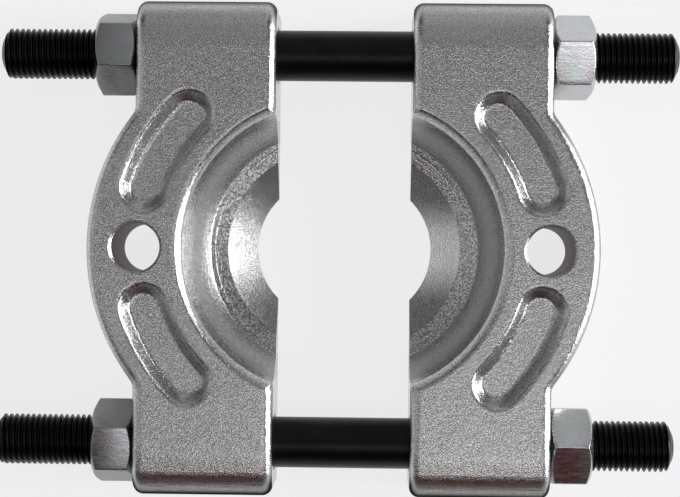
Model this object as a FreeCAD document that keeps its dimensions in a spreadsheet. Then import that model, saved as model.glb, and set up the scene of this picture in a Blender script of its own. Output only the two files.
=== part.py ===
import FreeCAD, Part
import Sketcher
import os

# Bearing separator: two bevelled forged halves on two threaded studs, drawn together by four nuts.
# The frame is the opening's centre on the flat back face: X along the studs, Z towards the bevelled side.
# A half is modelled once about its split face, with X pointing away from the other half.

SHEET_NAME = "Sizes"

# Driving sizes in millimetres and degrees, as alias, value and meaning.
DRIVING_SIZES = [
    ("half_gap", 48.0, "gap between the two split faces as set"),
    ("ear_depth", 49.1, "ear, from the split face to the nut seat"),
    ("thickness", 32.0, "half, from back face to front face"),
    ("ear_end_radius", 9.0, "rounding across the front of each ear end"),
    ("ear_back_chamfer", 2.5, "bevel across the back of each ear end"),
    ("jaw_radius", 76.8, "outer arc between the ears"),
    ("jaw_centre", 11.0, "outer arc's centre, beyond the split face"),
    ("jaw_overlap", 2.0, "how far the outer arc's body reaches into the ears"),
    ("neck_radius", 5.0, "inside corner between the outer arc and an ear"),
    ("front_radius", 3.6, "rounding along the front edges"),
    ("back_chamfer", 1.2, "bevel along the outer back edge"),
    ("bowl_centre", 18.0, "bowl's axis, beyond the split face"),
    ("knife_radius", 25.6, "knife edge that goes behind the bearing"),
    ("knife_land", 1.0, "height of the knife edge's land"),
    ("cone_radius", 35.7, "machined cone, at its upper rim"),
    ("cone_top", 9.7, "height of the cone's upper rim"),
    ("ring_radius", 41.9, "as-forged ring, at its outer side"),
    ("ring_top", 11.6, "height of the ring's outer side"),
    ("cove_radius", 30.0, "hollow curve from the ring to the front face"),
    ("step_radius", 50.5, "bowl's rim at the front face"),
    ("recess_inner", 58.3, "curved recess, inner side"),
    ("recess_outer", 75.4, "curved recess, outer side"),
    ("recess_start", 18.4, "angle of the recess's end near the middle"),
    ("recess_finish", 44.0, "angle of the recess's end near the ear"),
    ("recess_depth", 4.5, "curved recess, depth"),
    ("recess_draft", 36.0, "slope of the recess's walls"),
    ("recess_floor_radius", 2.0, "rounding at the recess's floor"),
    ("recess_rim_radius", 2.2, "rounding at the recess's rim"),
    ("puller_hole_place", 48.4, "puller hole, from the split face"),
    ("puller_hole_diameter", 17.0, "puller hole"),
    ("puller_hole_chamfer", 0.9, "bevel at the puller hole's front rim"),
    ("nut_arc_gap", 5.94, "from a nut's corner to the outer arc, along the seat"),
    ("ear_wall", 12.4, "least wall between the bowl's rim and a stud's bore"),
    ("ear_end_margin", 18.0, "from each stud's axis to the ear's end"),
    ("stud_height", 16.0, "studs' axes above the back face"),
    ("stud_bore_clearance", 0.6, "ear bore, wider than the shank"),
    ("stud_bore_chamfer", 0.8, "bevel at the mouth of each ear bore"),
    ("stud_length", 241.0, "stud, end to end"),
    ("upper_stud_shift", -2.1, "upper stud's middle, from the opening's centre"),
    ("lower_stud_shift", -3.0, "lower stud's middle, from the opening's centre"),
    ("shank_diameter", 18.0, "plain middle of a stud"),
    ("thread_diameter", 17.8, "outside of the thread"),
    ("thread_length", 74.0, "threaded stretch at each end of a stud"),
    ("stud_end_bevel", 2.1, "bevel at a stud's end, along the axis"),
    ("stud_end_inset", 3.2, "bevel at a stud's end, across the axis"),
    ("stud_end_radius", 4.0, "rounding where the bevel meets the end face"),
    ("nut_across_flats", 26.4, "hexagon nut, width across flats"),
    ("nut_height", 15.0, "hexagon nut, height"),
    ("nut_thread_clearance", 0.1, "nut bore, wider than the thread's outside"),
    ("nut_countersink", 0.7, "bevel at each mouth of the nut's bore"),
    ("nut_face_share", 0.9, "flat ring on the nut's face, as a share of its width"),
    ("nut_corner_slope", 30.0, "slope of the bevel on the nut's corners"),
    ("upper_left_nut_turn", -9.3, "a corner's turn from straight up"),
    ("upper_right_nut_turn", 14.6, "a corner's turn from straight up"),
    ("lower_left_nut_turn", 7.4, "a corner's turn from straight up"),
    ("lower_right_nut_turn", 25.6, "a corner's turn from straight up"),
]

# Sizes that follow from the driving ones, as alias and formula.
DERIVED_SIZES = [
    ("split_x", "=half_gap / 2"),
    ("seat_x", "=split_x + ear_depth"),
    ("stud_bore_diameter", "=shank_diameter + stud_bore_clearance"),
    ("jaw_chord", "=ear_depth - jaw_overlap"),
    ("shank_length", "=stud_length - 2 * thread_length"),
    ("nut_bore_diameter", "=thread_diameter + nut_thread_clearance"),
    ("nut_corner_radius", "=nut_across_flats / sqrt(3)"),
    ("arc_reach", "=sqrt(jaw_radius^2 - (jaw_centre + ear_depth)^2)"),
    ("bowl_reach", "=sqrt(step_radius^2 - bowl_centre^2)"),
    ("stud_y_by_nut", "=arc_reach + nut_arc_gap + nut_corner_radius"),
    ("stud_y_by_bowl", "=bowl_reach + ear_wall + stud_bore_diameter / 2"),
    ("stud_y", "=max(stud_y_by_nut; stud_y_by_bowl)"),
    ("half_length", "=2 * (stud_y + ear_end_margin)"),
    ("nut_face_radius", "=nut_face_share * nut_across_flats / 2"),
    ("nut_cone_growth", "=nut_height / tan(nut_corner_slope * 1deg)"),
]

TOUCH = 0.001


def make_sheet(doc):
    """The spreadsheet that holds every driving and derived size."""
    sheet = doc.addObject("Spreadsheet::Sheet", SHEET_NAME)
    row = 1
    for alias, value, meaning in DRIVING_SIZES:
        sheet.set(f"A{row}", meaning)
        sheet.set(f"B{row}", str(value))
        sheet.setAlias(f"B{row}", alias)
        row += 1
    doc.recompute()
    for alias, formula in DERIVED_SIZES:
        sheet.set(f"A{row}", f"{alias} from the sizes above")
        sheet.set(f"B{row}", formula)
        sheet.setAlias(f"B{row}", alias)
        doc.recompute()
        row += 1
    return sheet


def bind(thing, **formulas):
    """Bind properties of one object to formulas; a name's double underscore stands for a dot."""
    for name, formula in formulas.items():
        thing.setExpression(name.replace("__", "."), formula)


def size(alias):
    """The formula text that names one cell of the sheet."""
    return f"{SHEET_NAME}.{alias}"


def value(sheet, alias):
    """One cell of the sheet as a plain number."""
    return float(getattr(sheet, alias))


def new_body(doc, name):
    """A body whose label is the node's name."""
    body = doc.addObject("PartDesign::Body", name)
    body.Label = name
    return body


def origin_plane(body, role):
    """One of a body's own origin planes."""
    for feature in body.Origin.OriginFeatures:
        if feature.Role == role:
            return feature
    raise ValueError(f"no origin plane {role}")


def new_sketch(body, name, role, height=None):
    """A sketch on an origin plane, lifted along the plane's normal by a formula."""
    sketch = body.newObject("Sketcher::SketchObject", name)
    sketch.AttachmentSupport = (origin_plane(body, role), [""])
    sketch.MapMode = "FlatFace"
    if height:
        bind(sketch, AttachmentOffset__Base__z=height)
    return sketch


def fix(sketch, name, formula, kind, *references):
    """Add one named dimension to a sketch and bind it to a formula."""
    index = sketch.addConstraint(Sketcher.Constraint(kind, *references))
    sketch.renameConstraint(index, name)
    sketch.setExpression(f"Constraints.{name}", formula)


def tie(sketch, kind, *references):
    """Add one geometric constraint to a sketch."""
    sketch.addConstraint(Sketcher.Constraint(kind, *references))


def join(sketch, kind, one, other):
    """Tie two pieces of a sketch together where their ends meet."""
    for one_end in (1, 2):
        for other_end in (1, 2):
            gap = sketch.getPoint(one, one_end) - sketch.getPoint(other, other_end)
            if gap.Length < TOUCH:
                tie(sketch, kind, one, one_end, other, other_end)
                return
    raise ValueError(f"{sketch.Label}: pieces {one} and {other} don't meet")


def pick_edges(feature, test):
    """Names of a feature's edges that pass a test."""
    edges = enumerate(feature.Shape.Edges, 1)
    return [f"Edge{number}" for number, edge in edges if test(edge)]


def near(one, other, slack=0.01):
    return abs(one - other) < slack


def lies_at_height(edge, height):
    """Whether an edge lies in a level plane."""
    box = edge.BoundBox
    return near(box.ZMin, height) and near(box.ZMax, height)


def dress(body, kind, name, base, edges, **formulas):
    """Add a Fillet or Chamfer to edges of the last feature and bind its size."""
    feature = body.newObject(f"PartDesign::{kind}", name)
    feature.Base = (base, edges)
    bind(feature, **formulas)
    body.Document.recompute()
    return feature


def pocket(body, name, sketch, through=False, flipped=False, **formulas):
    """Cut a sketch out of a body and make sure that it removed something."""
    before = body.Shape.Volume
    feature = body.newObject("PartDesign::Pocket", name)
    feature.Profile = sketch
    feature.Type = 1 if through else 0
    feature.Reversed = flipped
    bind(feature, **formulas)
    body.Document.recompute()
    check_removed(body, name, before)
    return feature


def check_removed(body, name, before):
    """Raise if a cut left the body's volume as it was."""
    if body.Shape.Volume > before - TOUCH:
        raise ValueError(f"{body.Label}: {name} removed nothing")


def add_ears(body):
    """The straight bar that ends in the two ears, with rounded ear ends."""
    bar = body.newObject("PartDesign::AdditiveBox", "EarBar")
    bind(
        bar,
        Length=size("ear_depth"),
        Width=size("half_length"),
        Height=size("thickness"),
        Placement__Base__y=f"-{size('half_length')} / 2",
    )
    body.Document.recompute()
    return bar


def round_ear_ends(body, bar, sheet):
    """Round the ear ends across the front and bevel them across the back."""
    end = value(sheet, "half_length") / 2
    top = value(sheet, "thickness")

    def on_end(edge, height):
        box = edge.BoundBox
        return lies_at_height(edge, height) and near(abs(box.YMin), end) and near(abs(box.YMax), end)

    front = pick_edges(bar, lambda edge: on_end(edge, top) and edge.BoundBox.XLength > 1)
    rounded = dress(body, "Fillet", "EarEndRounding", bar, front, Radius=size("ear_end_radius"))
    back = pick_edges(rounded, lambda edge: on_end(edge, 0) and edge.BoundBox.XLength > 1)
    return dress(body, "Chamfer", "EarEndBevel", rounded, back, Size=size("ear_back_chamfer"))


def add_jaw(body, sheet):
    """The bowed outer side between the ears."""
    radius = value(sheet, "jaw_radius")
    centre = -value(sheet, "jaw_centre")
    chord = value(sheet, "jaw_chord")
    reach = (radius**2 - (chord - centre) ** 2) ** 0.5
    sketch = new_sketch(body, "JawOutline", "XY_Plane")
    start = FreeCAD.Vector(chord, -reach, 0)
    middle = FreeCAD.Vector(centre + radius, 0, 0)
    finish = FreeCAD.Vector(chord, reach, 0)
    arc = sketch.addGeometry(Part.Arc(start, middle, finish))
    line = sketch.addGeometry(Part.LineSegment(finish, start))
    tie(sketch, "Coincident", arc, 2, line, 1)
    tie(sketch, "Coincident", arc, 1, line, 2)
    tie(sketch, "Vertical", line)
    tie(sketch, "PointOnObject", arc, 3, -1)
    fix(sketch, "radius", size("jaw_radius"), "Radius", arc, radius)
    fix(sketch, "centre", size("jaw_centre"), "DistanceX", arc, 3, -1, 1, -centre)
    fix(sketch, "chord", size("jaw_chord"), "DistanceX", -1, 1, line, 1, chord)
    pad = body.newObject("PartDesign::Pad", "Jaw")
    pad.Profile = sketch
    bind(pad, Length=size("thickness"))
    body.Document.recompute()
    return pad


def round_necks(body, jaw, sheet):
    """Round the two inside corners where the outer arc meets the ears."""
    side = value(sheet, "ear_depth")
    end = value(sheet, "half_length") / 2

    def is_neck(edge):
        box = edge.BoundBox
        upright = box.ZLength > 1 and box.XLength < TOUCH and box.YLength < TOUCH
        return upright and near(box.XMin, side) and abs(box.YMin) < end - 1

    return dress(body, "Fillet", "NeckRounding", jaw, pick_edges(jaw, is_neck), Radius=size("neck_radius"))


def cut_bowl(body, sheet):
    """Turn the bevelled bowl: knife edge, machined cone, as-forged ring and the hollow wall."""
    axis_x = -value(sheet, "bowl_centre")
    knife = axis_x + value(sheet, "knife_radius")
    cone = axis_x + value(sheet, "cone_radius")
    ring = axis_x + value(sheet, "ring_radius")
    step = axis_x + value(sheet, "step_radius")
    land = value(sheet, "knife_land")
    cone_top = value(sheet, "cone_top")
    ring_top = value(sheet, "ring_top")
    front = value(sheet, "thickness")
    margin = land
    places = [
        (axis_x, -margin),
        (knife, -margin),
        (knife, land),
        (cone, cone_top),
        (ring, ring_top),
        (step, front),
        (step, front + margin),
        (axis_x, front + margin),
    ]
    points = [FreeCAD.Vector(x, z, 0) for x, z in places]
    sketch = new_sketch(body, "BowlSection", "XZ_Plane")
    sides = []
    for number, start in enumerate(points):
        finish = points[(number + 1) % len(points)]
        if number == 4:
            piece = cove_arc(start, finish, value(sheet, "cove_radius"))
        else:
            piece = Part.LineSegment(start, finish)
        sides.append(sketch.addGeometry(piece))
    floor, knife_wall, cone_line, ring_line, cove, step_wall, lid, back = sides
    for number, side in enumerate(sides):
        join(sketch, "Coincident", side, sides[(number + 1) % len(sides)])
    for level in (floor, lid):
        tie(sketch, "Horizontal", level)
    for upright in (knife_wall, step_wall, back):
        tie(sketch, "Vertical", upright)
    fix(sketch, "axis", size("bowl_centre"), "DistanceX", floor, 1, -1, 1, -axis_x)
    fix(sketch, "below", size("knife_land"), "DistanceY", floor, 1, -1, 1, margin)
    fix(sketch, "knife", size("knife_radius"), "DistanceX", floor, 1, floor, 2, knife - axis_x)
    fix(sketch, "land", size("knife_land"), "DistanceY", -1, 1, cone_line, 1, land)
    fix(sketch, "cone", size("cone_radius"), "DistanceX", floor, 1, cone_line, 2, cone - axis_x)
    fix(sketch, "cone_top", size("cone_top"), "DistanceY", -1, 1, cone_line, 2, cone_top)
    fix(sketch, "ring", size("ring_radius"), "DistanceX", floor, 1, ring_line, 2, ring - axis_x)
    fix(sketch, "ring_top", size("ring_top"), "DistanceY", -1, 1, ring_line, 2, ring_top)
    fix(sketch, "step", size("step_radius"), "DistanceX", floor, 1, step_wall, 1, step - axis_x)
    fix(sketch, "front", size("thickness"), "DistanceY", -1, 1, step_wall, 1, front)
    fix(sketch, "above", size("knife_land"), "DistanceY", step_wall, 1, step_wall, 2, margin)
    fix(sketch, "cove", size("cove_radius"), "Radius", cove, value(sheet, "cove_radius"))
    turn_line = sketch.addGeometry(Part.LineSegment(points[0], points[-1]), True)
    tie(sketch, "Coincident", turn_line, 1, floor, 1)
    tie(sketch, "Coincident", turn_line, 2, lid, 2)
    body.Document.recompute()
    before = body.Shape.Volume
    groove = body.newObject("PartDesign::Groove", "Bowl")
    groove.Profile = sketch
    groove.ReferenceAxis = (sketch, ["Axis0"])
    groove.Angle = 360
    body.Document.recompute()
    check_removed(body, "Bowl", before)
    return groove


def cove_arc(start, finish, radius):
    """The hollow arc from the ring up to the rim, bulging down and outwards."""
    chord = finish - start
    half = chord.Length / 2
    drop = radius - (radius**2 - half**2) ** 0.5
    outwards = FreeCAD.Vector(chord.y, -chord.x, 0).normalize()
    return Part.Arc(start, (start + finish) / 2 + outwards * drop, finish)


def cut_recesses(body, sheet):
    """Sink the two curved recesses, with sloping walls, into the front face."""
    sketch = new_sketch(body, "RecessOutline", "XY_Plane", size("thickness"))
    for name, side in (("upper", 1), ("lower", -1)):
        draw_recess(sketch, sheet, name, side)
    return pocket(
        body,
        "CurvedRecesses",
        sketch,
        Length=size("recess_depth"),
        TaperAngle=f"-{size('recess_draft')}",
    )


def draw_recess(sketch, sheet, name, side):
    """One kidney outline about the bowl's centre, above (side 1) or below (side -1) the middle."""
    centre = FreeCAD.Vector(-value(sheet, "bowl_centre"), 0, 0)
    inner = value(sheet, "recess_inner")
    outer = value(sheet, "recess_outer")
    middle = (inner + outer) / 2
    start = value(sheet, "recess_start")
    finish = value(sheet, "recess_finish")

    def at(radius, degrees):
        turned = FreeCAD.Rotation(FreeCAD.Vector(0, 0, 1), side * degrees)
        return centre + turned.multVec(FreeCAD.Vector(radius, 0, 0))

    halfway = (start + finish) / 2
    half_width = (outer - inner) / 2
    lean = FreeCAD.Rotation(FreeCAD.Vector(0, 0, 1), side * start)
    low_tip = at(middle, start) + lean.multVec(FreeCAD.Vector(0, -side * half_width, 0))
    lean = FreeCAD.Rotation(FreeCAD.Vector(0, 0, 1), side * finish)
    high_tip = at(middle, finish) + lean.multVec(FreeCAD.Vector(0, side * half_width, 0))
    arcs = [
        Part.Arc(at(outer, start), at(outer, halfway), at(outer, finish)),
        Part.Arc(at(outer, finish), high_tip, at(inner, finish)),
        Part.Arc(at(inner, finish), at(inner, halfway), at(inner, start)),
        Part.Arc(at(inner, start), low_tip, at(outer, start)),
    ]
    outside, high_end, inside, low_end = [sketch.addGeometry(arc) for arc in arcs]
    low_spoke = sketch.addGeometry(Part.LineSegment(centre, at(middle, start)), True)
    high_spoke = sketch.addGeometry(Part.LineSegment(centre, at(middle, finish)), True)
    joins = [(outside, high_end), (high_end, inside), (inside, low_end), (low_end, outside)]
    for one, other in joins:
        join(sketch, "Tangent", one, other)
    tie(sketch, "Coincident", inside, 3, outside, 3)
    tie(sketch, "PointOnObject", outside, 3, -1)
    for spoke, end in ((low_spoke, low_end), (high_spoke, high_end)):
        tie(sketch, "Coincident", spoke, 1, outside, 3)
        tie(sketch, "Coincident", spoke, 2, end, 3)
    fix(sketch, f"{name}_centre", size("bowl_centre"), "DistanceX", outside, 3, -1, 1, -centre.x)
    fix(sketch, f"{name}_outer", size("recess_outer"), "Radius", outside, outer)
    fix(sketch, f"{name}_inner", size("recess_inner"), "Radius", inside, inner)
    for label, spoke, alias in (("start", low_spoke, "recess_start"), ("finish", high_spoke, "recess_finish")):
        angle = FreeCAD.Units.Quantity(side * value(sheet, alias), FreeCAD.Units.Angle)
        formula = f"{side} * {size(alias)} * 1deg"
        fix(sketch, f"{name}_{label}", formula, "Angle", -1, 1, spoke, 1, angle)


def soften_recesses(body, recesses, sheet):
    """Round the recesses' floors and rims."""
    front = value(sheet, "thickness")
    floor = front - value(sheet, "recess_depth")
    on_floor = pick_edges(recesses, lambda edge: lies_at_height(edge, floor))
    soft = dress(body, "Fillet", "RecessFloor", recesses, on_floor, Radius=size("recess_floor_radius"))
    centre = FreeCAD.Vector(-value(sheet, "bowl_centre"), 0, front)
    inner = value(sheet, "recess_inner")

    def on_rim(edge):
        middle = edge.CenterOfMass
        beyond = (middle - centre).Length > inner - 1
        return lies_at_height(edge, front) and beyond and not edge.Curve.TypeId == "Part::GeomLine"

    inside = value(sheet, "jaw_radius") - value(sheet, "jaw_centre") - 1
    on_rims = pick_edges(soft, lambda edge: on_rim(edge) and edge.BoundBox.XMax < inside)
    return dress(body, "Fillet", "RecessRim", soft, on_rims, Radius=size("recess_rim_radius"))


def cut_puller_hole(body, sheet):
    """Bore the puller hole through the middle of the half."""
    sketch = new_sketch(body, "PullerHoleOutline", "XY_Plane", size("thickness"))
    place = value(sheet, "puller_hole_place")
    radius = value(sheet, "puller_hole_diameter") / 2
    normal = FreeCAD.Vector(0, 0, 1)
    circle = sketch.addGeometry(Part.Circle(FreeCAD.Vector(place, 0, 0), normal, radius))
    tie(sketch, "PointOnObject", circle, 3, -1)
    fix(sketch, "place", size("puller_hole_place"), "DistanceX", -1, 1, circle, 3, place)
    fix(sketch, "width", size("puller_hole_diameter"), "Diameter", circle, 2 * radius)
    hole = pocket(body, "PullerHole", sketch, through=True)
    front = value(sheet, "thickness")

    def is_rim(edge):
        round_edge = edge.Curve.TypeId == "Part::GeomCircle"
        return round_edge and lies_at_height(edge, front) and near(edge.Curve.Radius, radius)

    rim = pick_edges(hole, is_rim)
    return dress(body, "Chamfer", "PullerHoleBevel", hole, rim, Size=size("puller_hole_chamfer"))


def cut_stud_bores(body, sheet):
    """Bore both ears for the studs, right through along X."""
    sketch = new_sketch(body, "StudBoreOutline", "YZ_Plane")
    across = value(sheet, "stud_y")
    height = value(sheet, "stud_height")
    radius = value(sheet, "stud_bore_diameter") / 2
    normal = FreeCAD.Vector(0, 0, 1)
    for name, side in (("upper", 1), ("lower", -1)):
        centre = FreeCAD.Vector(side * across, height, 0)
        circle = sketch.addGeometry(Part.Circle(centre, normal, radius))
        ends = (-1, 1, circle, 3) if side > 0 else (circle, 3, -1, 1)
        fix(sketch, f"{name}_across", size("stud_y"), "DistanceX", *ends, across)
        fix(sketch, f"{name}_height", size("stud_height"), "DistanceY", -1, 1, circle, 3, height)
        fix(sketch, f"{name}_width", size("stud_bore_diameter"), "Diameter", circle, 2 * radius)
    bores = pocket(body, "StudBores", sketch, through=True, flipped=True)

    def is_mouth(edge):
        round_edge = edge.Curve.TypeId == "Part::GeomCircle"
        return round_edge and near(edge.Curve.Radius, radius) and edge.BoundBox.XLength < TOUCH

    mouths = pick_edges(bores, is_mouth)
    return dress(body, "Chamfer", "StudBoreBevel", bores, mouths, Size=size("stud_bore_chamfer"))


def round_front_edges(body, base, sheet):
    """Round the front edges along the split face, the ears, the outer arc and the bowl's rim."""
    front = value(sheet, "thickness")
    side = value(sheet, "ear_depth")
    rim = value(sheet, "step_radius")

    def is_front_edge(edge):
        if not lies_at_height(edge, front):
            return False
        box = edge.BoundBox
        straight = edge.Curve.TypeId == "Part::GeomLine" and box.XLength < TOUCH
        on_split = straight and near(box.XMin, 0)
        on_seat = straight and near(box.XMin, side)
        on_bowl = edge.Curve.TypeId == "Part::GeomCircle" and near(edge.Curve.Radius, rim)
        return on_split or on_seat or on_bowl

    return dress(
        body, "Fillet", "FrontRounding", base, pick_edges(base, is_front_edge), Radius=size("front_radius")
    )


def bevel_back_edge(body, base, sheet):
    """Bevel the outer arc's back edge."""
    radius = value(sheet, "jaw_radius")

    def is_back_arc(edge):
        round_edge = edge.Curve.TypeId == "Part::GeomCircle"
        return round_edge and lies_at_height(edge, 0) and near(edge.Curve.Radius, radius)

    return dress(
        body, "Chamfer", "BackBevel", base, pick_edges(base, is_back_arc), Size=size("back_chamfer")
    )


def make_half(doc, sheet, name, placement):
    """One forged half: ears, outer arc, bowl, recesses, puller hole and stud bores."""
    body = new_body(doc, name)
    bar = add_ears(body)
    round_ear_ends(body, bar, sheet)
    jaw = add_jaw(body, sheet)
    round_necks(body, jaw, sheet)
    bowl = cut_bowl(body, sheet)
    edges = round_front_edges(body, bowl, sheet)
    bevel_back_edge(body, edges, sheet)
    recesses = cut_recesses(body, sheet)
    soften_recesses(body, recesses, sheet)
    cut_puller_hole(body, sheet)
    cut_stud_bores(body, sheet)
    body.setExpression("Placement", placement)
    doc.recompute()
    return body


def make_stud(doc, sheet, name, side, shift):
    """One stud: threaded ends at the thread's outside, bevelled and rounded, and a plain shank."""
    body = new_body(doc, name)
    rod = body.newObject("PartDesign::AdditiveCylinder", "ThreadedRod")
    rod.AttachmentSupport = (origin_plane(body, "YZ_Plane"), [""])
    rod.MapMode = "FlatFace"
    bind(
        rod,
        Radius=f"{size('thread_diameter')} / 2",
        Height=size("stud_length"),
        AttachmentOffset__Base__z=f"-{size('stud_length')} / 2",
    )
    doc.recompute()
    reach = value(sheet, "stud_length") / 2
    rims = pick_edges(rod, lambda edge: edge.BoundBox.XLength < TOUCH and edge.BoundBox.YLength > 1)
    bevel = body.newObject("PartDesign::Chamfer", "EndBevel")
    bevel.Base = (rod, rims)
    bevel.ChamferType = "Two distances"
    bind(bevel, Size=size("stud_end_bevel"), Size2=size("stud_end_inset"))
    doc.recompute()

    def is_end_rim(edge):
        flat = edge.BoundBox.XLength < TOUCH and edge.BoundBox.YLength > 1
        return flat and near(abs(edge.BoundBox.XMin), reach)

    dress(body, "Fillet", "EndRounding", bevel, pick_edges(bevel, is_end_rim), Radius=size("stud_end_radius"))
    shank = body.newObject("PartDesign::AdditiveCylinder", "Shank")
    shank.AttachmentSupport = (origin_plane(body, "YZ_Plane"), [""])
    shank.MapMode = "FlatFace"
    bind(
        shank,
        Radius=f"{size('shank_diameter')} / 2",
        Height=size("shank_length"),
        AttachmentOffset__Base__z=f"-{size('shank_length')} / 2",
    )
    bind(
        body,
        Placement__Base__x=size(shift),
        Placement__Base__y=f"{side} * {size('stud_y')}",
        Placement__Base__z=size("stud_height"),
    )
    doc.recompute()
    return body


def make_nut(doc, name, upper, right):
    """One hexagon nut: a prism with both faces' corners bevelled, bored and countersunk."""
    blank = doc.addObject("Part::Prism", f"{name}_blank")
    blank.Polygon = 6
    bind(blank, Circumradius=size("nut_corner_radius"), Height=size("nut_height"))
    low = doc.addObject("Part::Cone", f"{name}_low_bevel")
    high = doc.addObject("Part::Cone", f"{name}_high_bevel")
    wide = f"{size('nut_face_radius')} + {size('nut_cone_growth')}"
    bind(low, Radius1=size("nut_face_radius"), Radius2=wide, Height=size("nut_height"))
    bind(high, Radius1=wide, Radius2=size("nut_face_radius"), Height=size("nut_height"))
    bevelled = doc.addObject("Part::MultiCommon", f"{name}_bevelled")
    bevelled.Shapes = [blank, low, high]
    bore = doc.addObject("Part::Cylinder", f"{name}_bore")
    bind(bore, Radius=f"{size('nut_bore_diameter')} / 2", Height=size("nut_height"))
    mouths = [make_countersink(doc, f"{name}_{place}", place) for place in ("bottom", "top")]
    cutter = doc.addObject("Part::MultiFuse", f"{name}_cutter")
    cutter.Shapes = [bore, *mouths]
    nut = doc.addObject("Part::Cut", name)
    nut.Label = name
    nut.Base = bevelled
    nut.Tool = cutter
    inner = size("seat_x") if right else f"-{size('seat_x')} - {size('nut_height')}"
    across = size("stud_y") if upper else f"-{size('stud_y')}"
    base = f"vector({inner}; {across}; {size('stud_height')})"
    turn = f"rotation(vector(1; 0; 0); {size(name + '_turn')})"
    along_x = "rotation(vector(1; 1; 1); 120)"
    nut.setExpression("Placement", f"placement({base}; {turn} * {along_x})")
    doc.recompute()
    return nut


def make_countersink(doc, name, place):
    """The short cone that bevels one mouth of a nut's bore."""
    cone = doc.addObject("Part::Cone", f"{name}_countersink")
    bore = f"{size('nut_bore_diameter')} / 2"
    mouth = f"{bore} + {size('nut_countersink')}"
    if place == "bottom":
        bind(cone, Radius1=mouth, Radius2=bore, Height=size("nut_countersink"))
    else:
        height = f"{size('nut_height')} - {size('nut_countersink')}"
        bind(cone, Radius1=bore, Radius2=mouth, Height=size("nut_countersink"), Placement__Base__z=height)
    return cone


def check_objects(doc):
    """Raise if any object of the document failed."""
    for thing in doc.Objects:
        if "Invalid" in thing.State or "Error" in thing.State:
            raise ValueError(f"{thing.Label} failed: {thing.State}")


def export(parts):
    """Check each sub-part's shape and write it to parts/."""
    os.makedirs("parts", exist_ok=True)
    for part in parts:
        shape = part.Shape
        if shape.isNull() or not shape.isValid() or len(shape.Solids) != 1:
            raise ValueError(f"{part.Label} has no valid single solid")
    for part in parts:
        part.Shape.exportStep(f"parts/{part.Label}.step")
        print(part.Label, round(part.Shape.Volume), "cubic mm")


def main():
    doc = FreeCAD.newDocument("BearingSeparator")
    sheet = make_sheet(doc)
    level = "rotation(vector(0; 0; 1); {turn})"
    right_place = f"placement(vector({size('split_x')}; 0; 0); {level.format(turn=0)})"
    left_place = f"placement(vector(-{size('split_x')}; 0; 0); {level.format(turn=180)})"
    parts = [
        make_half(doc, sheet, "left_half", left_place),
        make_half(doc, sheet, "right_half", right_place),
        make_stud(doc, sheet, "upper_stud", 1, "upper_stud_shift"),
        make_stud(doc, sheet, "lower_stud", -1, "lower_stud_shift"),
        make_nut(doc, "upper_left_nut", upper=True, right=False),
        make_nut(doc, "upper_right_nut", upper=True, right=True),
        make_nut(doc, "lower_left_nut", upper=False, right=False),
        make_nut(doc, "lower_right_nut", upper=False, right=True),
    ]
    doc.recompute()
    check_objects(doc)
    export(parts)


main()
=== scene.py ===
import math
from types import SimpleNamespace

import bmesh
import bpy
from mathutils import Matrix, Vector


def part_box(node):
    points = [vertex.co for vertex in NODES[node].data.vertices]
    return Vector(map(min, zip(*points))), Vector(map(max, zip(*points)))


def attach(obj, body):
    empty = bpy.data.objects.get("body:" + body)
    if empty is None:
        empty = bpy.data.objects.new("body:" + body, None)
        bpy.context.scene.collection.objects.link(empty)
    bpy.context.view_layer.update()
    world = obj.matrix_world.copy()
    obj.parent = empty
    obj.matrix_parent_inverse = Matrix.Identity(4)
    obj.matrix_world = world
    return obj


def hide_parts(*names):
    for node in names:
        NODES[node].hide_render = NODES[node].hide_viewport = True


# Bearing separator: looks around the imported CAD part. Metres, in the CAD's frame:
# X along the studs, Y along the halves, Z out of the bevelled front face, floor at Z = 0.

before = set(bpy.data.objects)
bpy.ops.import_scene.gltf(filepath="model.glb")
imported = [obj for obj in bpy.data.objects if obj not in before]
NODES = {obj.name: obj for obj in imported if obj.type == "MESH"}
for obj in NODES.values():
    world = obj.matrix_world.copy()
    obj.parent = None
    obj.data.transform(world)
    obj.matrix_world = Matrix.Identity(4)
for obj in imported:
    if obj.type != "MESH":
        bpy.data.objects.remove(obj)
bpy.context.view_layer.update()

MM = 0.001

# Studs, as in the part's source
PITCH = 2.0 * MM
THREAD_RADIUS = 8.9 * MM
THREAD_DEPTH = 1.227 * MM
THREAD_LENGTH = 74.0 * MM
SHANK_RADIUS = 9.0 * MM
RUN_OUT = 1.5 * PITCH
COLUMNS_AROUND = 60

# Nuts, as in the part's source
NUT_FLATS = 26.4 * MM
NUT_BORE_RADIUS = 8.95 * MM
NUT_COUNTERSINK = 0.7 * MM
NUT_FACE_RADIUS = 0.9 * NUT_FLATS / 2
NUT_CORNER_SLOPE = math.radians(30)
NUT_CORNER_ROUNDING = 0.7 * MM
NUT_EDGE_ROUNDING = 0.3 * MM
NUT_TURNS = {
    "upper_left_nut": -9.3,
    "upper_right_nut": 14.6,
    "lower_left_nut": 7.4,
    "lower_right_nut": 25.6,
}

# Bowl of each half: its axis stands this far from the middle of the opening
BOWL_AXIS = 6.0 * MM
CONE_RADIUS = 35.7 * MM
RING_RADIUS = 41.9 * MM
STEP_RADIUS = 50.5 * MM
GROOVE_RADIUS = 39.9 * MM

# Puller hole of each half, from the middle of the opening
HOLE_PLACE = 72.4 * MM
HOLE_RADIUS = 8.5 * MM

# Curved recesses, between these distances from the middle of the opening
RECESS_NEAR = 57.0 * MM
RECESS_FAR = 77.0 * MM

# Pitch of the cone's tool marks, and the dark reddish painted shade inside the puller holes
TOOL_MARK = 0.55 * MM
HOLE_SHADE_COLOUR = (0.045, 0.016, 0.012, 1.0)

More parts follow.
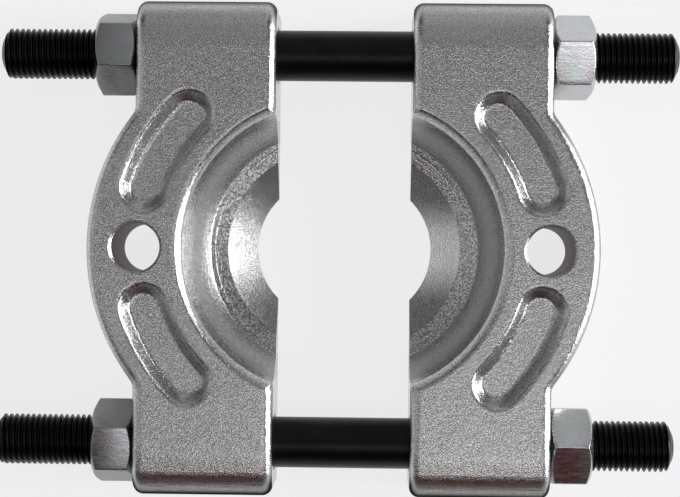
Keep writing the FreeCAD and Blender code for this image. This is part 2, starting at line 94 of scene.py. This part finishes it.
# Floor: its grey, the white share that the camera sees, its size and its drop under Z = 0
FLOOR_GREY = 0.95
FLOOR_WHITE = 0.78
FLOOR_SIZE = 4.0
FLOOR_DROP = 0.1 * MM

# Key light from the right: its way, as the world shows it, and the softbox that goes with it
KEY_WAY = (0.97, 0.04, 0.22)
KEY_LEVEL = 9.0
SOFTBOX_PLACE = (2.4, 0.15, 0.70)
SOFTBOX_TARGET = (0.0, 0.0, 0.02)
SOFTBOX_WIDTH = 1.6
SOFTBOX_HEIGHT = 0.85

# Dark warm colour of the surround low in front
WARM_DARK = (0.06, 0.015, 0.014, 1.0)

# Camera, fitted to the photo
CAMERA_PLACE = (10.3 * MM, -2.2 * MM, 579.3 * MM)
CAMERA_ANGLES = (-0.255, -1.175, -0.60)
FOCAL_PIXELS = 1577.0
IMAGE_WIDTH = 680.0
SENSOR = 36.0


# Meshes

def mesh_object(name, points, faces):
    """A new object from points and faces."""
    mesh = bpy.data.meshes.new(name)
    mesh.from_pydata([tuple(point) for point in points], [], faces)
    mesh.update()
    piece = bpy.data.objects.new(name, mesh)
    bpy.context.scene.collection.objects.link(piece)
    return piece


def clean_up(piece, merge=0.002 * MM, crease=35):
    """Merge coincident points, make the normals face out and shade smooth up to an angle."""
    form = bmesh.new()
    form.from_mesh(piece.data)
    bmesh.ops.remove_doubles(form, verts=form.verts, dist=merge)
    bmesh.ops.dissolve_degenerate(form, edges=form.edges, dist=merge)
    bmesh.ops.recalc_face_normals(form, faces=form.faces)
    form.to_mesh(piece.data)
    form.free()
    piece.data.polygons.foreach_set("use_smooth", [True] * len(piece.data.polygons))
    piece.data.set_sharp_from_angle(angle=math.radians(crease))


def thread_shape(share):
    """Height of the thread's flank, from root 0 to crest 1, at a share of one pitch."""
    away = abs((share % 1.0) - 0.5) * 2
    crest, root = 0.16, 0.84
    rise = min(max((root - away) / (root - crest), 0.0), 1.0)
    return rise * rise * (3 - 2 * rise) * 0.35 + rise * 0.65


def end_envelope(depth):
    """Largest radius at a depth below a stud's end: the bevel and its rounding."""
    outline_mm = [(0.0, 3.2), (0.12, 4.0), (0.45, 5.2), (1.0, 6.1), (2.1, 8.45), (2.7, 8.9)]
    depth_mm = max(depth, 0.0) / MM
    for (near, low), (far, high) in zip(outline_mm, outline_mm[1:]):
        if depth_mm <= far:
            return (low + (high - low) * (depth_mm - near) / (far - near)) * MM
    return THREAD_RADIUS


def make_stud(name, node):
    """A stud with a real right-hand helix at both ends and a plain shank between them."""
    low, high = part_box(node)
    left, right = low.x, high.x
    axis_y, axis_z = (low.y + high.y) / 2, (low.z + high.z) / 2
    samples = (0.0, 0.08, 0.22, 0.34, 0.42, 0.50, 0.58, 0.66, 0.78, 0.92)
    points, faces = [], []

    def around(x, radius, turn):
        """The point at a radius from the stud's axis and a share of a turn round it."""
        angle = 2 * math.pi * turn
        return x, axis_y + radius * math.cos(angle), axis_z + radius * math.sin(angle)

    def ring(x, radius):
        """One row of points round the axis; returns the number of its first point."""
        first = len(points)
        points.extend(around(x, radius, column / COLUMNS_AROUND) for column in range(COLUMNS_AROUND))
        return first

    def radius_at(x, turn, start, end, outer):
        """The thread's radius, which fades out at the shank and is cut by the end's bevel."""
        share = (x - start) / PITCH - turn
        cut = THREAD_DEPTH * (1 - thread_shape(share))
        inner = end if outer == start else start
        fade = min(abs(x - inner) / RUN_OUT, 1.0)
        body = SHANK_RADIUS + (THREAD_RADIUS - SHANK_RADIUS) * fade
        return min(body - cut * fade, end_envelope(abs(x - outer)))

    def thread(start, end, outer):
        """Rows that follow the helix between two places along X."""
        turns = int(math.ceil((end - start) / PITCH)) + 1
        rows = [(turn - 1 + share) for turn in range(turns + 1) for share in samples]
        first = len(points)
        for row in rows:
            for column in range(COLUMNS_AROUND):
                turn = column / COLUMNS_AROUND
                x = min(max(start + PITCH * (row + turn), start), end)
                points.append(around(x, radius_at(x, turn, start, end, outer), turn))
        per_turn = len(samples)
        for row in range(len(rows) - 1):
            for column in range(COLUMNS_AROUND):
                here = first + row * COLUMNS_AROUND + column
                above = here + COLUMNS_AROUND
                if column < COLUMNS_AROUND - 1:
                    faces.append((here, here + 1, above + 1, above))
                elif row + per_turn + 1 < len(rows):
                    across = first + (row + per_turn) * COLUMNS_AROUND
                    faces.append((here, across, across + COLUMNS_AROUND, above))

    thread(left, left + THREAD_LENGTH, left)
    thread(right - THREAD_LENGTH, right, right)
    near = ring(left + THREAD_LENGTH, SHANK_RADIUS)
    far = ring(right - THREAD_LENGTH, SHANK_RADIUS)
    for column in range(COLUMNS_AROUND):
        beside = (column + 1) % COLUMNS_AROUND
        faces.append((near + column, near + beside, far + beside, far + column))
    for x in (left, right):
        first = ring(x, end_envelope(0))
        faces.append(tuple(range(first, first + COLUMNS_AROUND)))
    piece = mesh_object(name, points, faces)
    clean_up(piece, crease=50)
    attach(piece, "studs")
    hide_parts(node)
    return piece


def rounded_profile(corners, radius, steps=3):
    """An open profile with each inner corner rounded; every profile gets the same number of points."""
    outline = [corners[0]]
    for before, corner, after in zip(corners, corners[1:], corners[2:]):
        back, ahead = (before - corner), (after - corner)
        reach = min(radius, 0.45 * back.length, 0.45 * ahead.length)
        start = corner + back.normalized() * reach
        finish = corner + ahead.normalized() * reach
        for step in range(steps + 1):
            share = step / steps
            bend = start.lerp(corner, share).lerp(corner.lerp(finish, share), share)
            outline.append(bend)
    outline.append(corners[-1])
    return outline


def hexagon_columns():
    """Points round a hexagon with rounded corners, as angle and distance from the axis."""
    apothem = NUT_FLATS / 2
    centre = (apothem - NUT_CORNER_ROUNDING) / math.cos(math.pi / 6)
    columns = []
    for corner in range(6):
        middle = corner * math.pi / 3
        for step in range(-3, 4):
            lean = middle + step * math.pi / 18
            spot = Vector((math.cos(middle), math.sin(middle))) * centre
            spot += Vector((math.cos(lean), math.sin(lean))) * NUT_CORNER_ROUNDING
            columns.append((math.atan2(spot.y, spot.x) % (2 * math.pi), spot.length))
        for step in range(1, 10):
            share = step / 10
            reach = apothem * math.tan(math.pi / 6) - NUT_CORNER_ROUNDING * math.tan(math.pi / 6)
            along = reach * (2 * share - 1)
            angle = middle + math.pi / 6 + math.atan2(along, apothem)
            columns.append((angle, math.hypot(apothem, along)))
    return sorted(columns)


def make_nut(name, node, body):
    """A hexagon nut with rounded corners, bevelled faces and a countersunk bore."""
    low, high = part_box(node)
    middle_x = (low.x + high.x) / 2
    axis_y, axis_z = (low.y + high.y) / 2, (low.z + high.z) / 2
    half = (high.x - low.x) / 2
    turn = math.radians(NUT_TURNS[node])
    points, faces = [], []
    columns = hexagon_columns()
    for angle, distance in columns:
        drop = (distance - NUT_FACE_RADIUS) * math.tan(NUT_CORNER_SLOPE)
        side = [
            Vector((half - NUT_COUNTERSINK * 3, NUT_BORE_RADIUS)),
            Vector((half - NUT_COUNTERSINK, NUT_BORE_RADIUS)),
            Vector((half, NUT_BORE_RADIUS + NUT_COUNTERSINK)),
            Vector((half, NUT_FACE_RADIUS)),
            Vector((half - drop, distance)),
            Vector((0.0, distance)),
        ]
        upper = rounded_profile(side, NUT_EDGE_ROUNDING)
        lower = [Vector((-point.x, point.y)) for point in reversed(upper[:-1])]
        for x, radius in upper + lower:
            aside, up = radius * math.cos(angle + turn), radius * math.sin(angle + turn)
            points.append((middle_x + x, axis_y + aside, axis_z + up))
    rows = len(points) // len(columns)
    for column in range(len(columns)):
        here, beside = column * rows, (column + 1) % len(columns) * rows
        for row in range(rows):
            above = (row + 1) % rows
            faces.append((here + row, beside + row, beside + above, here + above))
    piece = mesh_object(name, points, faces)
    clean_up(piece, crease=60)
    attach(piece, body)
    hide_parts(node)
    return piece


# Materials

class Nodes:
    """Short calls that add and wire nodes of one node tree."""

    def __init__(self, tree):
        self.tree = tree
        tree.nodes.clear()

    def add(self, kind, **settings):
        """A new node with its settings."""
        node = self.tree.nodes.new(kind)
        for name, setting in settings.items():
            setattr(node, name, setting)
        return node

    def feed(self, socket, source):
        """Link a socket to a node's output, or set it to a plain value."""
        if isinstance(source, bpy.types.NodeSocket):
            self.tree.links.new(source, socket)
        else:
            socket.default_value = source

    def math(self, operation, one, other=None, clamp=False):
        """One operation on one or two numbers."""
        node = self.add("ShaderNodeMath", operation=operation, use_clamp=clamp)
        self.feed(node.inputs[0], one)
        if other is not None:
            self.feed(node.inputs[1], other)
        return node.outputs[0]

    def product(self, first, *others):
        """Several numbers multiplied."""
        for other in others:
            first = self.math("MULTIPLY", first, other)
        return first

    def size(self, number):
        """A number without its sign."""
        return self.math("ABSOLUTE", number)

    def distance(self, one, other):
        """Length of a vector given by its two parts."""
        squares = [self.product(part, part) for part in (one, other)]
        return self.math("SQRT", self.math("ADD", *squares))

    def parts(self, vector):
        """The X, Y and Z parts of a vector."""
        node = self.add("ShaderNodeSeparateXYZ")
        self.feed(node.inputs[0], vector)
        return node.outputs

    def place(self):
        """Where a point of the surface is, in its object's own frame."""
        return self.add("ShaderNodeTexCoord").outputs["Object"]

    def normal(self):
        """Which way the surface faces."""
        return self.add("ShaderNodeNewGeometry").outputs["Normal"]

    def step(self, source, start, finish, low=0.0, high=1.0):
        """A smooth step of a value between two places."""
        node = self.add("ShaderNodeMapRange", interpolation_type="SMOOTHSTEP")
        for socket, setting in zip(node.inputs, (source, start, finish, low, high)):
            self.feed(socket, setting)
        return node.outputs[0]

    def fall(self, source, start, finish):
        """A smooth step down, from 1 to 0."""
        return self.step(source, start, finish, 1.0, 0.0)

    def band(self, source, low, high, edge):
        """1 between two places, with soft edges."""
        rise = self.step(source, low - edge, low + edge)
        return self.product(rise, self.fall(source, high - edge, high + edge))

    def noise(self, vector, size, detail=2.0, roughness=0.5):
        """Noise whose lumps are about the given size in metres."""
        node = self.add("ShaderNodeTexNoise")
        self.feed(node.inputs["Vector"], vector)
        node.inputs["Scale"].default_value = 1.0 / size
        node.inputs["Detail"].default_value = detail
        node.inputs["Roughness"].default_value = roughness
        return node.outputs["Fac"]

    def stretch(self, vector, scale):
        """A vector with each part multiplied by its own number."""
        node = self.add("ShaderNodeVectorMath", operation="MULTIPLY")
        self.feed(node.inputs[0], vector)
        node.inputs[1].default_value = scale
        return node.outputs[0]

    def mix(self, share, one, other):
        """Mix two colours or numbers."""
        colour = isinstance(one, tuple) or (isinstance(one, bpy.types.NodeSocket) and one.type == "RGBA")
        node = self.add("ShaderNodeMix", data_type="RGBA" if colour else "FLOAT")
        places = (6, 7) if colour else (2, 3)
        self.feed(node.inputs[0], share)
        self.feed(node.inputs[places[0]], one)
        self.feed(node.inputs[places[1]], other)
        return node.outputs[2 if colour else 0]

    def bump(self, height, distance, strength=1.0, normal=None):
        """A normal that shows a height, on top of another normal if one is given."""
        node = self.add("ShaderNodeBump")
        self.feed(node.inputs["Height"], height)
        node.inputs["Distance"].default_value = distance
        self.feed(node.inputs["Strength"], strength)
        if normal is not None:
            self.feed(node.inputs["Normal"], normal)
        return node.outputs["Normal"]

    def tilt_up(self, normal, share):
        """A normal leaned towards +Z, which makes a wall look less steep."""
        lift = self.add("ShaderNodeCombineXYZ")
        self.feed(lift.inputs[2], share)
        total = self.add("ShaderNodeVectorMath", operation="ADD")
        self.feed(total.inputs[0], normal)
        self.feed(total.inputs[1], lift.outputs[0])
        unit = self.add("ShaderNodeVectorMath", operation="NORMALIZE")
        self.feed(unit.inputs[0], total.outputs[0])
        return unit.outputs[0]

    def surface(self, colour, roughness, normal=None, grazing_shade=None):
        """A metal; its grazing tint colours what it reflects at a flat angle, which the forging uses for
        painted shade in reflections.
        """
        shader = self.add("ShaderNodeBsdfPrincipled")
        self.feed(shader.inputs["Base Color"], colour)
        shader.inputs["Metallic"].default_value = 1.0
        self.feed(shader.inputs["Roughness"], roughness)
        if normal is not None:
            self.feed(shader.inputs["Normal"], normal)
        if grazing_shade is not None:
            self.feed(shader.inputs["Specular Tint"], grazing_shade)
        output = self.add("ShaderNodeOutputMaterial")
        self.tree.links.new(shader.outputs[0], output.inputs["Surface"])


def grey(level):
    """A grey colour of a brightness."""
    return (level, level, level, 1.0)


def new_material(name):
    """A new material, and the calls that build its nodes."""
    material = bpy.data.materials.new(name)
    material.use_nodes = True
    return material, Nodes(material.node_tree)


def forging_regions(n, place):
    """Masks of the forging's parts: 1 on the named part and 0 elsewhere."""
    x, y, _ = n.parts(place)
    aside = n.size(x)
    radius = n.distance(n.math("SUBTRACT", aside, BOWL_AXIS), y)
    from_hole = n.distance(n.math("SUBTRACT", aside, HOLE_PLACE), y)
    from_middle = n.distance(x, y)
    facing_right, _, facing_up = n.parts(n.normal())

    upward = n.step(facing_up, 0.15, 0.35)
    upright = n.fall(n.size(facing_up), 0.05, 0.2)
    leaning = n.step(n.size(facing_up), 0.0, 0.08)
    steep = n.product(n.fall(facing_up, 0.15, 0.70), leaning)
    right = n.step(x, -1.0 * MM, 1.0 * MM)
    upper = n.step(y, -1.0 * MM, 1.0 * MM)

    in_bowl = n.product(n.fall(radius, RING_RADIUS - 0.1 * MM, RING_RADIUS + 0.3 * MM), upward)
    cone = n.product(in_bowl, n.fall(radius, CONE_RADIUS - 0.1 * MM, CONE_RADIUS + 0.3 * MM))
    ring = n.math("SUBTRACT", in_bowl, cone, clamp=True)
    ring_side = n.step(radius, RING_RADIUS, RING_RADIUS + 0.6 * MM)
    rim_side = n.fall(radius, STEP_RADIUS - 1.5 * MM, STEP_RADIUS)
    outside = n.product(steep, n.step(radius, STEP_RADIUS + 0.5 * MM, STEP_RADIUS + 1.5 * MM))

    recess = n.product(
        n.band(from_middle, RECESS_NEAR, RECESS_FAR, 0.5 * MM),
        n.step(aside, 26.0 * MM, 28.0 * MM),
        n.step(from_hole, HOLE_RADIUS + 1.5 * MM, HOLE_RADIUS + 2.5 * MM),
        n.step(facing_up, 0.02, 0.10),
    )
    lit = n.product(n.step(facing_right, 0.0, 0.25), n.math("SUBTRACT", 1.0, right))

    ear_end = n.step(n.size(y), 77.0 * MM, 82.5 * MM)
    ear_slope = n.step(facing_up, n.mix(upper, 0.45, 0.30), n.mix(upper, 0.92, 0.85), 0.93, 0.0)
    rim = n.step(radius, STEP_RADIUS + 0.2 * MM, STEP_RADIUS + 2.8 * MM)
    return SimpleNamespace(
        y=y,
        radius=radius,
        steep=steep,
        right=right,
        upper=upper,
        cone=cone,
        ring=ring,
        outside=outside,
        recess=recess,
        ear_end=ear_end,
        ear_slope=ear_slope,
        cove=n.product(ring_side, rim_side),
        ear_rounding=n.product(ear_end, leaning),
        rim=n.product(rim, n.step(facing_up, -0.6, -0.2)),
        soft=n.math("MAXIMUM", ear_end, n.product(outside, upward)),
        in_hole=n.product(upright, n.fall(from_hole, HOLE_RADIUS + 0.1 * MM, HOLE_RADIUS + 0.4 * MM)),
        wall_lean=n.product(recess, n.step(lit, 0.0, 1.0, 0.15, 0.55)),
    )


def forging_relief(n, place, on, fine, medium, coarse):
    """Fine relief: forged grain, the cone's tool marks, the ring's groove and the ears' ground ends."""
    broad = n.noise(place, 14 * MM, 3.0, 0.55)
    streaks = n.noise(n.stretch(place, (0.06, 1.0, 1.0)), 0.5 * MM, 2.0, 0.6)
    marks = n.math("SINE", n.product(on.radius, 2 * math.pi / TOOL_MARK))
    groove = n.step(n.size(n.math("SUBTRACT", on.radius, GROOVE_RADIUS)), 0.1 * MM, 0.5 * MM)

    forged = n.math("ADD", fine, n.product(medium, 0.7))
    machined = n.math("ADD", n.product(marks, 0.12), n.product(fine, 1.6))
    rough = n.math("ADD", n.product(coarse, 1.1), n.product(groove, 0.5))
    grain = n.mix(on.cone, forged, machined)
    grain = n.mix(on.ring, grain, rough)
    grain = n.mix(on.ear_end, grain, n.product(streaks, 0.8))

    normal = n.bump(grain, 0.13 * MM, 1.0, n.tilt_up(n.normal(), on.wall_lean))
    normal = n.bump(broad, 0.25 * MM, 0.6, normal)
    normal = n.bump(n.fall(n.size(on.y), 70.0 * MM, 84.0 * MM), 1.3 * MM, 1.0, normal)
    return n.bump(on.rim, 0.55 * MM, 1.0, normal)


def forging_tone(n, on, fine, coarse):
    """Grey of the plating, mottled by the grain, with painted shade on steep faces, in the coves, on the
    ear ends' roundings and inside the puller holes, and a painted highlight across each cone's middle.
    """
    specks = n.step(coarse, 0.42, 0.58)
    tone = n.mix(n.step(fine, 0.38, 0.62), grey(0.47), grey(0.75))
    # Painted shade: steep faces take a darker speckled grey, which also breaks up their highlights; less of
    # it in the recesses
    speckled_shade = n.mix(specks, grey(0.10), grey(0.66))
    tone = n.mix(n.product(on.steep, n.mix(on.recess, 0.85, 0.3)), tone, speckled_shade)
    tone = n.mix(on.ring, tone, n.mix(specks, grey(0.34), grey(0.86)))
    # Painted shade: the coves are darkened, the right half's more than the left's
    tone = n.mix(n.product(on.cove, n.mix(on.right, 0.5, 0.75)), tone, grey(0.14))
    # Painted shade: the ear ends' roundings are darkened, over different slopes on the upper and the lower
    # ears
    tone = n.mix(n.product(on.ear_rounding, on.ear_slope), tone, grey(0.06))
    # Painted light on the cone: a bright band across its middle, brighter on the right half, and painted
    # shade towards its ends
    cone_painted_highlight = n.mix(on.right, grey(0.50), grey(1.0))
    cone_highlight_and_shade = n.mix(n.step(n.size(on.y), 4 * MM, 20 * MM), cone_painted_highlight, grey(0.20))
    tone = n.mix(n.product(on.cone, 0.75), tone, cone_highlight_and_shade)
    # Painted shade: the puller holes' walls take a dark reddish colour
    return n.mix(on.in_hole, tone, HOLE_SHADE_COLOUR)


def plated_forging():
    """Satin plating over a forging, with a machined cone, a rough ring and ground ear ends."""
    material, n = new_material("plated_forging")
    place = n.place()
    on = forging_regions(n, place)
    fine = n.noise(place, 0.45 * MM, 2.0, 0.6)
    medium = n.noise(place, 1.6 * MM, 2.0, 0.5)
    coarse = n.noise(place, 0.6 * MM, 3.0, 0.7)

    roughness = n.step(medium, 0.3, 0.7, 0.18, 0.23)
    roughness = n.mix(on.soft, roughness, 0.34)
    roughness = n.mix(on.in_hole, roughness, 0.5)
    # Painted shade in reflections: the grazing tint darkens what the outer steep faces and the ear ends'
    # roundings reflect, more on the lower ears
    grazing_shade = n.mix(on.outside, grey(1.0), grey(0.25))
    grazing_shade = n.mix(on.ear_rounding, grazing_shade, n.mix(on.upper, grey(0.16), grey(0.45)))
    n.surface(
        forging_tone(n, on, fine, coarse),
        roughness,
        forging_relief(n, place, on, fine, medium, coarse),
        grazing_shade,
    )
    return material


def black_oxide():
    """Oil-black steel: nearly black, faintly blotched."""
    material, n = new_material("black_oxide_steel")
    place = n.place()
    blotches = n.noise(place, 6 * MM, 3.0, 0.6)
    fine = n.noise(place, 0.5 * MM, 2.0, 0.6)
    tone = n.mix(blotches, grey(0.014), grey(0.030))
    roughness = n.step(fine, 0.3, 0.7, 0.32, 0.42)
    n.surface(tone, roughness, n.bump(fine, 0.015 * MM))
    return material


def zinc_plate(name, level, steep_shade_share):
    """Zinc with the faint bluish and purple tints of its passivation, and painted shade on steep facets."""
    material, n = new_material(name)
    place = n.place()
    facing_up = n.parts(n.normal())[2]
    steep = n.product(n.fall(facing_up, 0.50, 0.88), steep_shade_share)
    tint = n.noise(place, 7 * MM, 3.0, 0.6)
    blotch = n.noise(place, 3 * MM, 4.0, 0.7)
    fine = n.noise(place, 0.8 * MM, 2.0, 0.5)
    scratches = n.noise(n.stretch(place, (0.15, 1.0, 1.0)), 0.7 * MM, 2.0, 0.6)
    bluish = (0.62 * level, 0.69 * level, 0.67 * level, 1.0)
    purple = (0.70 * level, 0.68 * level, 0.74 * level, 1.0)
    tone = n.mix(n.step(tint, 0.38, 0.62), bluish, purple)
    tone = n.mix(n.step(blotch, 0.45, 0.75, 0.0, 0.5), tone, grey(0.65 * level))
    # Painted shade: steep facets are darkened
    tone = n.mix(steep, tone, grey(0.13))
    roughness = n.step(scratches, 0.3, 0.7, 0.20, 0.32)
    n.surface(tone, roughness, n.bump(fine, 0.03 * MM))
    return material


def pale_floor():
    """Pale floor with a white share for the camera and for reflections; it keeps the object's shadow."""
    material, n = new_material("floor")
    diffuse = n.add("ShaderNodeBsdfDiffuse")
    diffuse.inputs["Color"].default_value = grey(FLOOR_GREY)
    white = n.add("ShaderNodeEmission")
    rays = n.add("ShaderNodeLightPath").outputs
    seen = n.math("ADD", rays["Is Camera Ray"], rays["Is Glossy Ray"])
    seen = n.math("ADD", seen, rays["Is Transmission Ray"], clamp=True)
    blend = n.add("ShaderNodeMixShader")
    n.feed(blend.inputs[0], n.product(seen, FLOOR_WHITE))
    n.tree.links.new(diffuse.outputs[0], blend.inputs[1])
    n.tree.links.new(white.outputs[0], blend.inputs[2])
    output = n.add("ShaderNodeOutputMaterial")
    n.tree.links.new(blend.outputs[0], output.inputs["Surface"])
    return material


def make_floor():
    """The pale floor, which belongs to the stage and not to the part."""
    half = FLOOR_SIZE / 2
    level = -FLOOR_DROP
    corners = [(-half, -half, level), (half, -half, level), (half, half, level), (-half, half, level)]
    floor = mesh_object("floor", corners, [(0, 1, 2, 3)])
    floor.data.materials.append(pale_floor())


# Light

def softbox(name, place, target, width, height, radiance):
    """A rectangular area lamp aimed at a point, with its brightness given as radiance."""
    lamp = bpy.data.lights.new(name, "AREA")
    lamp.shape = "RECTANGLE"
    lamp.size = width
    lamp.size_y = height
    lamp.energy = radiance * math.pi * width * height
    piece = bpy.data.objects.new(name, lamp)
    bpy.context.scene.collection.objects.link(piece)
    piece.location = place
    aim = Vector(target) - Vector(place)
    piece.rotation_euler = aim.to_track_quat("-Z", "Y").to_euler()


def light_world():
    """A studio surround: dim above, pale at the horizon, with panels and a warm dark in front."""
    world = bpy.data.worlds.new("studio")
    bpy.context.scene.world = world
    world.use_nodes = True
    n = Nodes(world.node_tree)
    way = n.add("ShaderNodeTexCoord").outputs["Generated"]
    x, y, z = n.parts(way)
    across = n.math("DEGREES", n.math("ARCTAN2", x, z))
    along = n.math("DEGREES", n.math("ARCTAN2", y, z))

    def panel(low_x, high_x, low_y, high_y, edge):
        """1 inside a range of angles from straight up, towards +X and towards +Y, with soft edges."""
        return n.product(n.band(across, low_x, high_x, edge), n.band(along, low_y, high_y, edge))

    def patch(centre, inner, outer):
        """1 within the inner angle of a direction, fading to 0 at the outer one."""
        toward = n.add("ShaderNodeVectorMath", operation="DOT_PRODUCT")
        n.feed(toward.inputs[0], way)
        toward.inputs[1].default_value = Vector(centre).normalized()
        return n.step(toward.outputs["Value"], math.cos(math.radians(outer)), math.cos(math.radians(inner)))

    colour = n.mix(n.step(x, 0.34, 0.96), grey(0.07), grey(0.18))
    overhead_light = n.mix(n.step(across, -12, 12), grey(1.65), grey(2.1))
    backdrop_light = n.mix(n.step(x, -0.15, 0.15), grey(0.30), grey(0.52))
    overhead = panel(-9, 29, -23, -8, 4)
    upper_left = panel(-52, -25, -18, 18, 5)
    backdrop = n.math("MAXIMUM", panel(-22, 18, 14, 66, 5), patch((0.0, 1.0, 0.1), 15, 40))
    left = patch((-1.0, 0.0, 0.12), 14, 34)
    front_left = panel(-70, -28, -88, -24, 5)
    front = panel(-28, 28, -88, -23, 4)
    horizon = n.fall(z, 0.04, 0.20)
    key = patch(KEY_WAY, 5, 19)
    layers = [
        (overhead, overhead_light),
        (upper_left, grey(0.70)),
        (backdrop, backdrop_light),
        (left, grey(0.55)),
        (front_left, grey(0.06)),
        (front, WARM_DARK),
        (horizon, grey(0.60)),
        (key, grey(KEY_LEVEL)),
    ]
    for mask, light in layers:
        colour = n.mix(mask, colour, light)
    shader = n.add("ShaderNodeBackground")
    n.feed(shader.inputs["Color"], colour)
    output = n.add("ShaderNodeOutputWorld")
    n.tree.links.new(shader.outputs[0], output.inputs["Surface"])


# Camera and scene

def make_camera():
    """The camera that was fitted to the photo."""
    lens = bpy.data.cameras.new("camera")
    lens.sensor_width = SENSOR
    lens.lens = FOCAL_PIXELS / IMAGE_WIDTH * SENSOR
    lens.clip_start = 0.01
    camera = bpy.data.objects.new("camera", lens)
    bpy.context.scene.collection.objects.link(camera)
    turns = zip(CAMERA_ANGLES, "XYZ")
    tilt, turn, roll = [Matrix.Rotation(math.radians(angle), 3, axis) for angle, axis in turns]
    into_camera = roll @ turn @ tilt
    camera.matrix_world = Matrix.Translation(CAMERA_PLACE) @ into_camera.transposed().to_4x4()
    bpy.context.scene.camera = camera


def dress(node, material):
    """Give a CAD node one material in place of its own."""
    slots = NODES[node].data.materials
    slots.clear()
    slots.append(material)


forging = plated_forging()
oxide = black_oxide()
# Lit and shaded copies of one zinc: the left nuts get a darker one as painted shade, the right nuts a
# brighter one as painted light
zincs = {
    "left": zinc_plate("zinc_plate_shaded", 0.62, 0.75),
    "right": zinc_plate("zinc_plate_lit", 1.05, 0.35),
}

for half in ("left_half", "right_half"):
    dress(half, forging)
for stud in ("upper_stud", "lower_stud"):
    make_stud(f"{stud}_threaded", stud).data.materials.append(oxide)
    dress(stud, oxide)
for nut in NUT_TURNS:
    zinc = zincs["left" if "left" in nut else "right"]
    make_nut(f"{nut}_shaped", nut, f"{nut}_body").data.materials.append(zinc)
    dress(nut, zinc)

make_floor()
make_camera()
light_world()
softbox("right_softbox", SOFTBOX_PLACE, SOFTBOX_TARGET, SOFTBOX_WIDTH, SOFTBOX_HEIGHT, KEY_LEVEL)
bpy.context.scene.view_settings.view_transform = "Standard"
